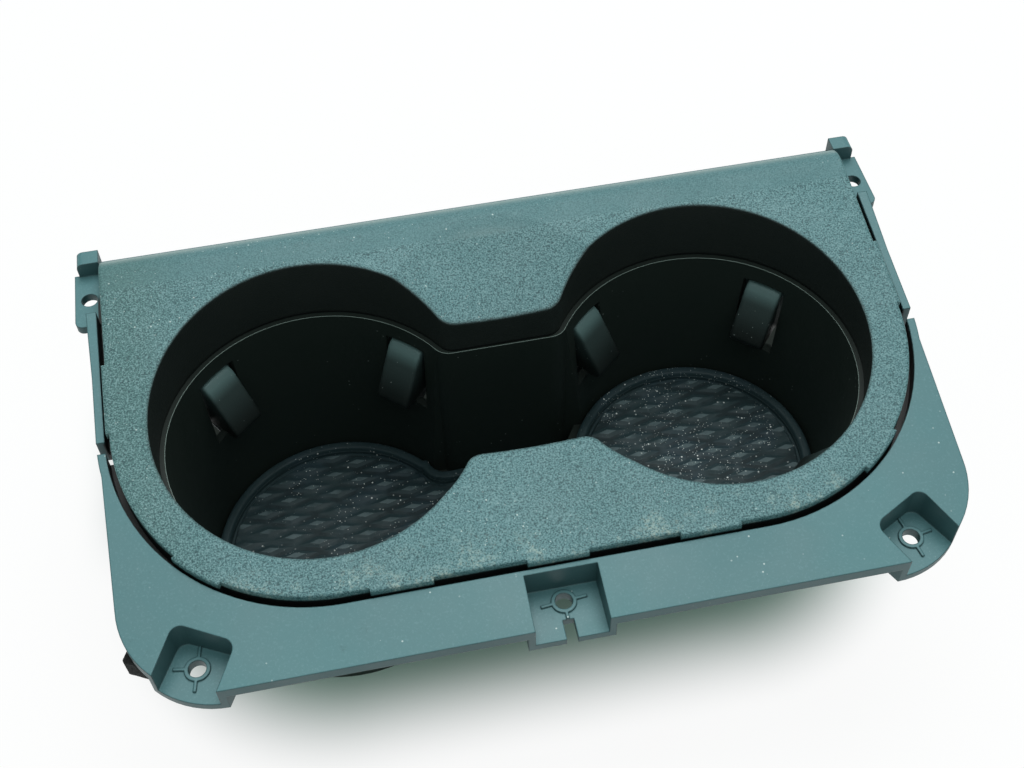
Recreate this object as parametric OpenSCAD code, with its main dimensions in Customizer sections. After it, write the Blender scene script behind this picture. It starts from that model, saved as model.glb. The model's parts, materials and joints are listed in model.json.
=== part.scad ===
// Car console cup holder: two round cups joined by a neck, in a black tub under a sloping
// grained cover, held by a smooth carrier frame. Six sprung fingers grip the cups.
// Left and right are as seen from the front. The tub stands on Z = 0 and the origin is
// under the middle of the whole part. Depths are measured down from the tub's top edge.

/* [Cups] */
// Distance between the two cup centres
cup_pitch = 100; // [92:1:110]
// Inside diameter of both cups at the tub's top edge
cup_d = 77.6; // [72:0.2:80]
// Inside diameter of the left cup at its floor
left_floor_d = 71.2; // [66:0.2:72]
// Inside diameter of the right cup at its floor
right_floor_d = 68.2; // [64:0.2:70]
// Depth of the left cup and the neck, from the tub's top edge to the floor
left_depth = 56.6; // [50:0.2:62]
// Depth of the right cup, from the tub's top edge to the floor
right_depth = 45.3; // [40:0.2:49]
// Clear width of the neck between the cups
neck_w = 37.8; // [30:0.2:42]
// Radius of the four upright corners where the neck meets the cups
neck_corner_r = 5; // [3:0.5:6]
// Wall of the tub
tub_wall = 2.2; // [1.8:0.1:2.6]
// Floor of the tub
tub_floor = 2.4; // [1.8:0.1:3]

/* [Cover] */
// Slope of the cover, rising to the rear, in degrees
cover_slope = 8.5; // [6:0.5:10]
// Height of the cover's surface over the tub's top edge, at the line of the cup centres
cover_rise = 13.3; // [12:0.1:16]
// Distance from a cup centre to the cover's front and side edges
cover_edge_r = 49.2; // [48:0.2:51]
// Distance from the line of the cup centres to the cover's rear face
cover_rear = 55.5; // [53:0.5:58]
// Wall of the cover
cover_wall = 2.4; // [2:0.1:3]
// Depth of the cover's turned-down edge
cover_skirt = 6.5; // [5:0.5:8]
// Depth of the cover's rear face
cover_rear_skirt = 15; // [12:0.5:18]
// Radius of the rolled rear edge
rear_roll_r = 8; // [5:0.5:9]
// How far the land dips behind the neck
rear_dip = 6; // [3:0.5:7]
// How far the land dips in front of the neck
front_dip = 3.4; // [1:0.2:4]
// Radius of the shallow dip between the cups
dip_r = 120; // [90:5:180]
// Inside diameter of the cover's cup mouths
mouth_d = 80.2; // [79:0.2:83]

/* [Frame] */
// Distance from the line of the cup centres to the frame's front edge
frame_front = 65.6; // [64:0.2:72]
// Radius of the frame's front corners
frame_corner_r = 22.6; // [18:0.2:28]
// Half width of the frame at its front corners
frame_half_w = 101; // [100.5:0.5:106]
// How much wider each side of the frame is at the rear tabs
frame_flare = 3; // [1:0.2:5]
// Distance from the line of the cup centres to the frame's rear end
frame_rear = 58.6; // [58.5:0.1:64]
// Thickness of the frame's plate
frame_wall = 2.4; // [2:0.1:3]
// Width of the seam between the cover's edge and the frame
seam_gap = 1.6; // [1.2:0.1:2]
// Diameter of the fixing screw holes
fixing_hole_d = 4.2; // [3.5:0.1:5]
// Distance from the middle hole to each front corner hole
front_hole_x = 85; // [82:0.5:88]
// Distance from the line of the cup centres to the front holes
front_hole_y = 56; // [55.5:0.5:58]
// Distance from the middle to each rear tab hole
rear_hole_x = 103.4; // [103.2:0.1:105]
// Distance from the line of the cup centres to the rear tab holes
rear_hole_y = 45.6; // [44:0.2:48]

/* [Fingers] */
// Angle between the cups' long axis and each finger, in degrees
finger_angle = 48.6; // [45:0.2:52]
// Width of a finger
finger_w = 9.8; // [8:0.2:11]
// Radius from the cup's axis to the finger tips at rest
grip_r = 29; // [27:0.5:32]
// Depth of a finger's top edge
finger_top = 6; // [5.5:0.5:8]
// Depth of a finger's tip
finger_tip = 20.4; // [18:0.2:22]
// Width of the window in the cup wall
window_w = 12.2; // [11.6:0.2:13]
// Diameter of a hinge pin
pin_d = 2; // [1.6:0.1:2.4]

/* [Mats] */
// Height of a mat's rim
mat_rim_h = 3.7; // [3:0.1:5]
// Width of a mat's rim
mat_rim_w = 2.7; // [2:0.1:4]
// Gap between a mat and the cup wall
mat_gap = 0.5; // [0.3:0.1:1]

/* [Hidden] */
$fn = 96;

// Overrun that carries every cut clear of the surface it starts from
over = 1;
// Clearance between pieces that are laid together
seat_gap = 0.1;

// Levels and places that follow from the sizes above
cup_x = cup_pitch / 2;
cup_r = cup_d / 2;
left_floor_r = left_floor_d / 2;
right_floor_r = right_floor_d / 2;
neck_half = neck_w / 2;
top_z = left_depth + tub_floor;
right_floor_z = top_z - right_depth;
cover_z = top_z + cover_rise;
reach = 2 * cup_pitch + 2 * cup_d;
middle_y = (frame_front - frame_rear) / 2;

// Height of the cover's surface at a distance y behind the line of the cup centres
function surface_z(y) = cover_z + y * tan(cover_slope);
// Outside radius of the left cup's wall at a depth; both cups' fingers are laid out from it
function wall_out(depth) = cup_r - (cup_r - left_floor_r) * depth / left_depth + tub_wall;

// Cover's mouths and the neck between them; the neck's round corners bite into the cups' circles
mouth_step = 0.4;
mouth_wall = 1.8;
mouth_low = top_z + seat_gap;
corner_bite = 0.05;

// Seam between the cover and the frame
tongue_reach = 0.9;
tongue_half = 7.3;
tongue_x = 36.4;
tongue_corner_angle = 49.5;
tongue_corner_half_angle = 7.5;
side_tongue_y = 10.5;
side_tongue_half = 9.5;
seam_r = cover_edge_r + seam_gap;
seam_rear = cover_rear + seat_gap + seam_gap / 2;
well_half = cup_x + cover_edge_r + seam_gap;
opening_gap = 0.5;

// Frame plate, the ledge that carries the cover and the upright wall between them
frame_drop = 1.6;
frame_lip = 3.2;
ledge_w = 4;
step_wall = 2;
ledge_drop = cover_skirt + seat_gap;
rear_ledge_drop = cover_rear_skirt + seat_gap;
frame_corner_x = frame_half_w - frame_corner_r;
frame_corner_y = frame_front - frame_corner_r;

// Screw pockets in the frame's front edge
pad_deep = 4.5;
pad_z = top_z - pad_deep;
pad_t = 2.2;
pocket_wall = 1.6;
pocket_angle = 27.3;
pocket_back = 5.5;
pocket_inner = 8.5;
pocket_outer = 6.5;
pocket_round_r = 2.6;
mid_pocket_half = 8.7;
mid_pocket_back = 4;
slot_w = 2.7;
slot_start = 4.6;
hole_ring_w = 0.9;
hole_ring_h = 0.5;
hole_rib_w = 0.7;
hole_rib_l = 2.6;

// Rear tabs, cheeks and the slot in the side flange
tab_rise = 12.6;
tab_z = top_z + tab_rise;
tab_reach = 3.7;
tab_half_l = 8.6;
tab_round_r = 2;
cheek_reach = 4.8;
cheek_rise = 17.2;
cheek_z = top_z + cheek_rise;
rear_wall_rise = 12.8;
rear_wall_z = top_z + rear_wall_rise;
tab_weld = 0.4;
channel_in = 0.8;
cheek_round_r = 1.8;
side_slot_y = -1.6;
side_slot_w = 3;
side_slot_l = 7;

// Finger: depths and radii in the plane through the cup's axis
pivot_depth = 9.2;
barrel_r = 2.6;
barrel_gap = 0.6;
pivot_r = wall_out(pivot_depth) + barrel_gap + barrel_r;
pin_gap = 0.05;
ear_t = 2;
ear_gap = 0.4;
ear_r = 2.8;
wing_half = 7.6;
wing_gap = 0.3;
wing_t = 1.3;
wing_top = 12.2;
finger_skin = 1.8;
finger_nose_h = 1.8;
finger_low = finger_tip + finger_nose_h;
finger_nose_r = 1.1;
shoulder_in = 1.7;
shoulder_drop = 1.5;
window_top_room = 1;
window_top = finger_top - window_top_room;
window_low_room = 7.8;
window_low = finger_tip + window_low_room;

// Leaf spring behind each finger, and the bridge on the tub that holds its foot
leaf_t = 0.5;
leaf_w = 5;
leaf_foot_gap = 0.5;
leaf_foot_r = wall_out(window_low) + leaf_foot_gap;
leaf_foot_l = 12.5;
leaf_low = window_low + leaf_foot_l;
leaf_tip_l = 5;
leaf_top = finger_low - leaf_tip_l;
leaf_bow = 6.4;
leaf_bow_rise = 1.4;
leaf_bow_depth = window_low - leaf_bow_rise;
leaf_turn = 1.6;
bridge_half = 4.4;
bridge_drop = 4.4;
bridge_h = 6;
bridge_top = window_low + bridge_drop;
bridge_low = bridge_top + bridge_h;
bridge_out = 1.3;
bridge_gap = 0.15;

// Screw ears of the tub
ear_plate_drop = 4.8;
ear_plate_z = top_z - ear_plate_drop;
ear_plate_t = 2.2;
ear_plate_half = 5;
boss_r = 3.2;
boss_in = 0.2;
mid_ear_out = 12.1;
front_ear_in = 8.1;
ear_mid_y = neck_half + mid_ear_out;
ear_front_y = frame_front - front_ear_in;
screw_r = 1.45;
screw_hole_r = 1.9;
screw_gap = 0.05;
screw_grip = 4.6;
screw_head_r = 3.1;
screw_head_h = 2.1;
screw_drive_r = 1.1;
screw_drive_depth = 1.2;
boss_well = 5.4;
tub_bead_h = 3;
tub_bead_w = 0.9;
opening_r = max(mouth_d / 2 + mouth_wall, cup_r + tub_wall + tub_bead_w) + opening_gap;
channel_y = cover_rear - 3 * ledge_w;
ear_rear_y = max(channel_y, opening_r) + boss_r + boss_in;
plinth_rib_t = 1.8;

// Heights of the mats' plain base and tread, and the groove inside their rims
mat_base_h = 1.6;
mat_tread_h = 2.6;
mat_groove_w = 0.9;

// Foam pad stuck under the frame's lip beside the left front corner
foam_l = 7;
foam_w = 7;
foam_h = 7;
foam_in = 4.6;
foam_back = 14.4;
foam_x = frame_half_w - foam_in;
foam_y = frame_front - foam_back;
foam_top = surface_z(-foam_y - foam_w / sqrt(2)) - frame_drop - frame_lip - seat_gap;

// Everything is drawn about the line of the cup centres and then moved onto the origin
module placed() {
    translate([0, middle_y, 0]) children();
}

module mirrored_x() {
    children();
    mirror([1, 0, 0]) children();
}

module mirrored_y() {
    children();
    mirror([0, 1, 0]) children();
}

// All space below the cover's surface, lowered by drop
module below_surface(drop) {
    translate([0, 0, cover_z - drop])
        rotate([cover_slope, 0, 0])
            translate([-reach, -reach, -2 * reach]) cube([2 * reach, 2 * reach, 2 * reach]);
}

// A sheet of space between two drops below the cover's surface
module slab(top_drop, low_drop) {
    difference() {
        below_surface(top_drop);
        below_surface(low_drop);
    }
}

// An upright prism of a flat outline, through the whole height
module upright(z = 0) {
    translate([0, 0, z]) linear_extrude(2 * reach) children();
}

// Flat outline of the neck, with round corners where it runs into circles of radius r
module neck_outline(r, half, corner) {
    corner_y = half + corner;
    corner_x = cup_x - sqrt(pow(r + corner - corner_bite, 2) - pow(corner_y, 2));
    flare = corner_y * r / (r + corner);
    inner_x = cup_x - r * 2 / 3;
    difference() {
        polygon([[-inner_x, -flare], [inner_x, -flare], [inner_x, flare], [-inner_x, flare]]);
        for (side = [-1, 1]) {
            polygon([
                [-corner_x, side * half], [corner_x, side * half],
                [corner_x, side * corner_y], [-corner_x, side * corner_y]
            ]);
            for (x = [-corner_x, corner_x]) translate([x, side * corner_y]) circle(corner);
        }
    }
}

// Outline of the cover, grown or shrunk all round
module cover_outline(grow, rear) {
    edge_r = cover_edge_r + grow;
    for (x = [-cup_x, cup_x]) translate([x, 0]) circle(edge_r);
    polygon([
        [-cup_x, -edge_r], [cup_x, -edge_r], [cup_x + edge_r, 0],
        [cup_x + edge_r, rear], [-cup_x - edge_r, rear], [-cup_x - edge_r, 0]
    ]);
}

// Tongues that reach out from the cover's edge over the seam
module tongue_outline() {
    edge = cover_edge_r + tongue_reach;
    for (x = [-tongue_x, 0, tongue_x])
        translate([x - tongue_half, -edge]) square([2 * tongue_half, edge]);
    mirrored_x() {
        translate([cup_x, 0]) intersection() {
            circle(edge);
            polygon([
                [0, 0],
                2 * edge * [cos(tongue_corner_angle - tongue_corner_half_angle),
                            -sin(tongue_corner_angle - tongue_corner_half_angle)],
                2 * edge * [cos(tongue_corner_angle + tongue_corner_half_angle),
                            -sin(tongue_corner_angle + tongue_corner_half_angle)]
            ]);
        }
        translate([0, side_tongue_y - side_tongue_half])
            square([cup_x + edge, 2 * side_tongue_half]);
    }
}

// The shallow dip in the land behind and in front of the neck
module dips(drop) {
    rear_low = surface_z(neck_half) - rear_dip;
    rear_meet = cover_rear - rear_roll_r - over;
    rear_rise = atan((surface_z(rear_meet) - rear_low) / (rear_meet - neck_half));
    front_low = surface_z(-neck_half) - front_dip;
    front_meet = cover_edge_r;
    front_fall = atan((front_low - surface_z(-front_meet)) / (front_meet - neck_half));
    translate([0, neck_half, rear_low]) rotate([rear_rise, 0, 0])
        translate([0, -neck_half, dip_r]) rotate([-90, 0, 0])
            cylinder(r = dip_r + drop, h = cover_rear + neck_half);
    translate([0, -neck_half, front_low]) rotate([front_fall, 0, 0])
        translate([0, neck_half, dip_r]) rotate([90, 0, 0])
            cylinder(r = dip_r + drop, h = cover_rear + neck_half);
}

// Side view of the cover, shrunk all round by inset: front to rear along X, height along Y
module cover_profile(inset) {
    r = rear_roll_r - inset;
    y = cover_rear - rear_roll_r;
    translate([y, surface_z(y) - rear_roll_r / cos(cover_slope)]) {
        circle(r);
        rotate(cover_slope) translate([-reach, -reach]) square([reach, reach + r]);
        translate([-r, -reach]) square([2 * r, reach]);
    }
}

// Extrudes a side view across the whole width
module along_x() {
    translate([-reach, 0, 0]) rotate([90, 0, 90]) linear_extrude(2 * reach) children();
}

// The open cups and neck inside the cover, or the outside of the wall around them
module mouth_outline(grow) {
    r = mouth_d / 2 + grow;
    for (x = [-cup_x, cup_x]) translate([x, 0]) circle(r);
    neck_outline(r, neck_half + mouth_step + grow, neck_corner_r - grow);
}

module screw_places() {
    mirrored_y() translate([0, ear_mid_y]) children();
    mirrored_x() {
        translate([cup_x, ear_rear_y]) children();
        translate([cup_x, -ear_front_y]) children();
    }
}

// Hollow under the cover's skin
module cover_hollow() {
    difference() {
        intersection() {
            upright(-over) cover_outline(-cover_wall, cover_rear);
            along_x() cover_profile(cover_wall);
        }
        dips(cover_wall);
    }
}

module cover_boss_places() {
    for (y = [-ear_mid_y, ear_mid_y]) translate([0, y]) children();
}

module cover_body() {
    difference() {
        intersection() {
            upright() {
                cover_outline(0, cover_rear + over);
                tongue_outline();
            }
            along_x() cover_profile(0);
            difference() {
                below_surface(-over);
                below_surface(cover_skirt);
            }
        }
        cover_hollow();
    }
    intersection() {
        translate([-cup_x - cover_edge_r, cover_rear - cover_wall, 0])
            cube([2 * (cup_x + cover_edge_r), cover_wall, 2 * reach]);
        slab(cover_skirt - over, cover_rear_skirt);
        along_x() cover_profile(0);
    }
    intersection() {
        upright(mouth_low) mouth_outline(mouth_wall);
        below_surface(cover_wall / 2);
    }
    intersection() {
        upright(ear_plate_z + seat_gap) cover_boss_places() circle(boss_r);
        along_x() cover_profile(cover_wall / 2);
    }
}

module top_cover() {
    color([0.30, 0.36, 0.37]) placed() difference() {
        difference() {
            cover_body();
            dips(0);
        }
        upright() mouth_outline(0);
        translate([0, 0, ear_plate_z - over]) linear_extrude(boss_well + over)
            cover_boss_places() circle(screw_r + screw_gap);
    }
}

// Outline of the frame, shrunk all round and left open at the rear
module frame_outline(inset, rear) {
    side = frame_half_w - inset;
    rear_side = frame_half_w + frame_flare - inset;
    front = frame_front - inset;
    for (x = [-frame_corner_x, frame_corner_x])
        translate([x, -frame_corner_y]) circle(frame_corner_r - inset);
    polygon([
        [-frame_corner_x, -front], [frame_corner_x, -front], [side, -frame_corner_y],
        [rear_side, rear], [-rear_side, rear], [-side, -frame_corner_y]
    ]);
}

// Outline of a front corner pocket about its screw hole, grown all round; side is 1 right, -1 left
module corner_pocket_outline(side, grow) {
    r = pocket_round_r + grow;
    inner = -pocket_inner - grow;
    outer = pocket_outer + grow;
    back = pocket_back + grow;
    open = 2 * frame_corner_r;
    rotate(side * pocket_angle) {
        for (x = [side * (inner + r), side * (outer - r)]) translate([x, back - r]) circle(r);
        polygon([
            [side * inner, -open], [side * outer, -open], [side * outer, back - r],
            [side * (outer - r), back], [side * (inner + r), back], [side * inner, back - r]
        ]);
    }
}

// Ring and three thin centring ribs around a screw hole
module hole_ring(ribs) {
    ring_r = fixing_hole_d / 2 + hole_ring_w;
    translate([0, 0, pad_z - seat_gap]) linear_extrude(hole_ring_h + seat_gap) {
        circle(ring_r);
        for (a = ribs) rotate(a)
            translate([0, -hole_rib_w / 2]) square([ring_r + hole_rib_l, hole_rib_w]);
    }
}

module frame_plate() {
    intersection() {
        upright() frame_outline(0, frame_rear);
        slab(frame_drop, frame_drop + frame_wall);
    }
    intersection() {
        upright() difference() {
            frame_outline(0, frame_rear);
            frame_outline(step_wall, frame_rear + over);
        }
        slab(frame_drop, frame_drop + frame_lip);
    }
    intersection() {
        upright() cover_outline(seam_gap + step_wall, seam_rear + step_wall);
        slab(frame_drop, ledge_drop + frame_wall);
    }
}

// The well that the cover drops into, with its ledge, and the opening for the tub
module seam_well() {
    intersection() {
        upright() cover_outline(seam_gap, seam_rear);
        difference() {
            below_surface(-reach / 2);
            below_surface(ledge_drop);
        }
    }
    upright(-reach) {
        cover_outline(-ledge_w, channel_y);
        for (x = [-cup_x, cup_x]) translate([x, 0]) circle(opening_r);
    }
}

// Channel along the rear for the cover's rear face

module rear_channel() {
    half = well_half + step_wall;
    intersection() {
        translate([-half, channel_y, 0]) cube([2 * half, seam_rear + step_wall - channel_y, 2 * reach]);
        slab(ledge_drop, rear_ledge_drop + frame_wall);
    }
}

module rear_channel_cut() {
    wall_y = channel_y + frame_wall;
    half = well_half - channel_in;
    intersection() {
        translate([-half, wall_y, 0]) cube([2 * half, seam_rear - channel_in / 2 - wall_y, 2 * reach]);
        difference() {
            below_surface(-reach / 2);
            below_surface(rear_ledge_drop);
        }
    }
    translate([-well_half, seam_rear - over, rear_wall_z]) cube([2 * well_half, reach, reach]);
}

// The sides are cut away where the tabs and cheeks are set on
module tab_space() {
    x0 = well_half - tab_weld;
    for (x = [-x0 - reach, x0])
        translate([x, rear_hole_y - tab_half_l, 0]) cube([reach, reach, 2 * reach]);
}

module rear_tab() {
    x0 = well_half - 2 * tab_weld;
    x1 = rear_hole_x + tab_reach;
    x2 = frame_half_w + cheek_reach;
    low = rear_hole_y - tab_half_l;
    cheek_y = rear_hole_y + tab_half_l;
    tab_low_z = tab_z - frame_wall;
    translate([0, 0, tab_low_z]) linear_extrude(frame_wall) difference() {
        translate([x0, low - tab_weld]) square([x1 - x0, 2 * tab_half_l + 2 * tab_weld]);
        translate([x1, low - tab_weld]) difference() {
            square(2 * tab_round_r, center = true);
            translate([-tab_round_r, tab_round_r]) circle(tab_round_r);
        }
        translate([rear_hole_x, rear_hole_y]) circle(d = fixing_hole_d);
    }
    translate([0, frame_rear, tab_low_z]) rotate([90, 0, 0])
        linear_extrude(frame_rear - cheek_y) difference() {
            translate([x0, 0]) square([x2 - x0, cheek_z - tab_low_z]);
            translate([x2, cheek_z - tab_low_z]) difference() {
                square(2 * cheek_round_r, center = true);
                translate([-cheek_round_r, -cheek_round_r]) circle(cheek_round_r);
            }
        }
}

module base_frame() {
    color([0.33, 0.40, 0.41]) placed() difference() {
        union() {
            difference() {
                union() {
                    frame_plate();
                    rear_channel();
                    front_pockets();
                    frame_boss(-ear_front_y, frame_drop);
                    frame_boss(ear_rear_y, rear_ledge_drop);
                }
                seam_well();
                rear_channel_cut();
                tab_space();
            }
            rear_tab();
            mirror([1, 0, 0]) rear_tab();
        }
        pocket_cavities();
        for (x = [-rear_hole_x, rear_hole_x])
            translate([x - side_slot_l / 2, side_slot_y - side_slot_w / 2, 0])
                cube([side_slot_l, side_slot_w, 2 * reach]);
        translate([0, 0, ear_plate_z - over]) linear_extrude(boss_well + over)
            for (x = [-cup_x, cup_x], y = [-ear_front_y, ear_rear_y])
                translate([x, y]) circle(screw_r + screw_gap);
    }
}

// Screw bosses under both cups' ears, up into the frame's wall at a drop
module frame_boss(y, drop) {
    intersection() {
        upright(ear_plate_z + seat_gap) for (x = [-cup_x, cup_x]) translate([x, y]) circle(boss_r);
        below_surface(drop + frame_wall / 2);
    }
}

module front_pockets() {
    intersection() {
        union() {
            for (side = [-1, 1]) upright(pad_z - pad_t)
                translate([side * front_hole_x, -front_hole_y])
                    corner_pocket_outline(side, pocket_wall);
            upright(pad_z - pad_t)
                translate([-mid_pocket_half - pocket_wall, -frame_front])
                    square([2 * (mid_pocket_half + pocket_wall), frame_front - cover_edge_r - seam_gap]);
        }
        upright() frame_outline(0, frame_rear);
        below_surface(frame_drop);
    }
}

module pocket_cavities() {
    difference() {
        union() {
            for (side = [-1, 1]) upright(pad_z) translate([side * front_hole_x, -front_hole_y])
                corner_pocket_outline(side, 0);
            upright(pad_z) translate([-mid_pocket_half, -frame_front - over])
                square([2 * mid_pocket_half, over + frame_front - front_hole_y + mid_pocket_back]);
        }
        translate([-front_hole_x, -front_hole_y, 0]) hole_ring([80, 170, 260]);
        translate([front_hole_x, -front_hole_y, 0]) hole_ring([10, 100, 280]);
        translate([0, -front_hole_y, 0]) hole_ring([5, 185, 270]);
    }
    for (x = [-front_hole_x, 0, front_hole_x])
        translate([x, -front_hole_y, 0]) cylinder(d = fixing_hole_d, h = 2 * reach);
    translate([-slot_w / 2, -frame_front - over, 0])
        cube([slot_w, over + frame_front - front_hole_y - slot_start, 2 * reach]);
}

// Places a finger and what belongs to it: x is the cup, sx and sy give its side of the cup
module at_finger(cup, sx, sy) {
    placed() translate([cup * cup_x, 0, top_z]) rotate([0, 0, sy * (90 - sx * (90 - finger_angle))])
        children();
}

// Extrudes an outline drawn as radius and height, across the finger
module across(width) {
    rotate([90, 0, 0]) linear_extrude(width, center = true) children();
}

module finger_shape() {
    top_r = wall_out(finger_top) - tub_wall - seat_gap;
    wing_low_r = wall_out(finger_low) + wing_gap;
    wing_top_r = wall_out(wing_top) + wing_gap;
    difference() {
        union() {
            across(finger_w) polygon([
                [top_r, -finger_top],
                [top_r - shoulder_in, -finger_top - shoulder_drop],
                [grip_r, -finger_tip],
                [grip_r + finger_nose_r, -finger_low],
                [wing_low_r + wing_t, -finger_low],
                [wing_top_r + wing_t, -wing_top],
                [pivot_r, -pivot_depth],
                [pivot_r, -finger_top - seat_gap]
            ]);
            across(2 * wing_half) polygon([
                [wing_low_r, -finger_low],
                [wing_low_r + wing_t, -finger_low],
                [wing_top_r + wing_t, -wing_top],
                [wing_top_r, -wing_top]
            ]);
            translate([pivot_r, 0, -pivot_depth]) across(2 * wing_half) circle(barrel_r);
            translate([pivot_r - barrel_r, -wing_half, -wing_top - over])
                cube([wing_t, 2 * wing_half, wing_top - pivot_depth + over]);
        }
        across(finger_w - 2 * finger_skin) polygon([
            [top_r - shoulder_in + finger_skin, -finger_top - shoulder_drop - 2 * finger_skin],
            [grip_r + finger_skin, -finger_tip - finger_skin / 3],
            [grip_r + finger_skin, -finger_low - over],
            [wing_low_r, -finger_low - over],
            [wing_top_r, -finger_top - shoulder_drop - 3 * finger_skin]
        ]);
        translate([pivot_r, 0, -pivot_depth]) across(2 * wing_half + 2 * over)
            circle(pin_d / 2 + pin_gap);
    }
}

module finger(cup, sx, sy) {
    color([0.13, 0.14, 0.14]) at_finger(cup, sx, sy) finger_shape();
}

module pin(cup, sx, sy) {
    color([0.70, 0.71, 0.72]) at_finger(cup, sx, sy)
        translate([pivot_r, 0, -pivot_depth]) across(2 * (wing_half + ear_gap + ear_t)) circle(pin_d / 2);
}

// A strip of sheet along a run of points, with round bends
module strip(points, t) {
    for (i = [0 : len(points) - 2]) {
        a = points[i];
        b = points[i + 1];
        translate(a) rotate(atan2(b[1] - a[1], b[0] - a[0]))
            translate([0, -t / 2]) square([norm(b - a), t]);
    }
    for (p = points) translate(p) circle(t / 2);
}

module leaf_shape() {
    touch_r = wall_out(leaf_top) + wing_gap + wing_t + leaf_t / 2 + seat_gap;
    foot_r = leaf_foot_r + leaf_t / 2;
    across(leaf_w) strip([
        [foot_r, -leaf_low],
        [foot_r, -window_low - leaf_turn],
        [foot_r + leaf_bow, -leaf_bow_depth],
        [touch_r, -leaf_top],
        [touch_r + leaf_turn, -leaf_top + leaf_turn]
    ], leaf_t);
}

module leaf(cup, sx, sy) {
    color([0.62, 0.63, 0.64]) at_finger(cup, sx, sy) leaf_shape();
}

// Hinge ears and the spring's bridge on the outside of a cup, before the window is cut
module finger_mounts() {
    ear_y = wing_half + ear_gap;
    root_r = cup_r - tub_wall / 2;
    for (s = [-1, 1]) translate([0, s * (ear_y + ear_t / 2), 0]) difference() {
        across(ear_t) {
            translate([pivot_r, -pivot_depth]) circle(ear_r);
            translate([root_r, -pivot_depth - ear_r]) square([pivot_r - root_r, 2 * ear_r]);
        }
        translate([pivot_r, 0, -pivot_depth]) across(ear_t + 2 * over) circle(pin_d / 2 + pin_gap);
    }
    foot_in = leaf_foot_r - bridge_gap;
    foot_out = leaf_foot_r + leaf_t + bridge_gap;
    bridge_root = wall_out(bridge_low) - tub_wall - (left_floor_r - right_floor_r) / 2;
    difference() {
        translate([bridge_root, -bridge_half, -bridge_low])
            cube([foot_out + bridge_out - bridge_root, 2 * bridge_half, bridge_low - bridge_top]);
        translate([foot_in, -leaf_w / 2 - bridge_gap, -bridge_low - over])
            cube([foot_out - foot_in, leaf_w + 2 * bridge_gap, bridge_low - bridge_top + 2 * over]);
    }
}

module finger_places() {
    for (side = [[-1, -1, 1], [-1, 1, 1], [-1, -1, -1], [1, 1, 1], [1, -1, 1], [1, 1, -1]])
        translate([side[0] * cup_x, 0, top_z])
            rotate([0, 0, side[2] * (90 - side[1] * (90 - finger_angle))]) children();
}

module liner_outside() {
    translate([-cup_x, 0, 0]) cylinder(r1 = left_floor_r + tub_wall, r2 = cup_r + tub_wall, h = top_z);
    translate([cup_x, 0, right_floor_z - tub_floor])
        cylinder(r1 = right_floor_r + tub_wall, r2 = cup_r + tub_wall, h = right_depth + tub_floor);
    translate([cup_x, 0, 0]) cylinder(r = right_floor_r + tub_wall, h = right_floor_z);
    linear_extrude(top_z)
        neck_outline(cup_r + tub_wall, neck_half + tub_wall, neck_corner_r - tub_wall);
    translate([0, 0, top_z - tub_bead_h]) linear_extrude(tub_bead_h) {
        mirrored_x() translate([cup_x, 0]) circle(cup_r + tub_wall + tub_bead_w);
        neck_outline(cup_r + tub_wall + tub_bead_w, neck_half + tub_wall + tub_bead_w,
                     neck_corner_r - tub_wall - tub_bead_w);
    }
    finger_places() finger_mounts();
    translate([0, 0, ear_plate_z - ear_plate_t]) linear_extrude(ear_plate_t) {
        screw_places() circle(ear_plate_half);
        mirrored_y() translate([-ear_plate_half, neck_half])
            square([2 * ear_plate_half, ear_mid_y - neck_half]);
        mirrored_x() {
            translate([cup_x - ear_plate_half, cup_r - tub_wall])
                square([2 * ear_plate_half, ear_rear_y - cup_r + tub_wall]);
            translate([cup_x - ear_plate_half, -ear_front_y])
                square([2 * ear_plate_half, ear_front_y - cup_r + tub_wall]);
        }
    }
}

module cup_liner() {
    color([0.12, 0.13, 0.13]) placed() difference() {
        liner_outside();
        translate([-cup_x, 0, tub_floor])
            cylinder(r1 = left_floor_r, r2 = cup_r, h = left_depth);
        translate([cup_x, 0, right_floor_z])
            cylinder(r1 = right_floor_r, r2 = cup_r, h = right_depth);
        difference() {
            translate([0, 0, tub_floor]) linear_extrude(left_depth)
                neck_outline(cup_r, neck_half, neck_corner_r);
            translate([cup_x, 0, 0]) cylinder(r = right_floor_r + tub_wall, h = right_floor_z);
        }
        // the right cup stands on an open ring with a cross of ribs inside
        difference() {
            translate([cup_x, 0, -over])
                cylinder(r = right_floor_r, h = right_floor_z - tub_floor + over);
            for (a = [0, 90]) translate([cup_x, 0, 0]) rotate(a)
                translate([-cup_r, -plinth_rib_t / 2, -over])
                    cube([cup_d, plinth_rib_t, right_floor_z]);
        }
        finger_places()
            translate([cup_r - 3 * tub_wall, -window_w / 2, -window_low])
                cube([5 * tub_wall - over, window_w, window_low - window_top]);
        upright(-over) screw_places() circle(screw_hole_r);
    }
}

// Rubber mats: the left one runs on into the neck
module mat_rim(inset) {
    left_r = left_floor_r - mat_gap - inset;
    difference() {
        union() {
            translate([-cup_x, 0]) circle(left_r);
            intersection() {
                neck_outline(left_r, neck_half - mat_gap - inset, neck_corner_r);
                translate([-reach, -reach]) square([reach + cup_x, 2 * reach]);
            }
        }
        translate([cup_x, 0]) circle(right_floor_r + tub_wall + mat_gap + inset);
    }
}

module left_mat() {
    color([0.20, 0.22, 0.23]) placed() translate([0, 0, tub_floor]) {
        linear_extrude(mat_base_h) mat_rim(0);
        linear_extrude(mat_rim_h) difference() {
            mat_rim(0);
            mat_rim(mat_rim_w);
        }
        linear_extrude(mat_tread_h) mat_rim(mat_rim_w + mat_groove_w);
    }
}

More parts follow.
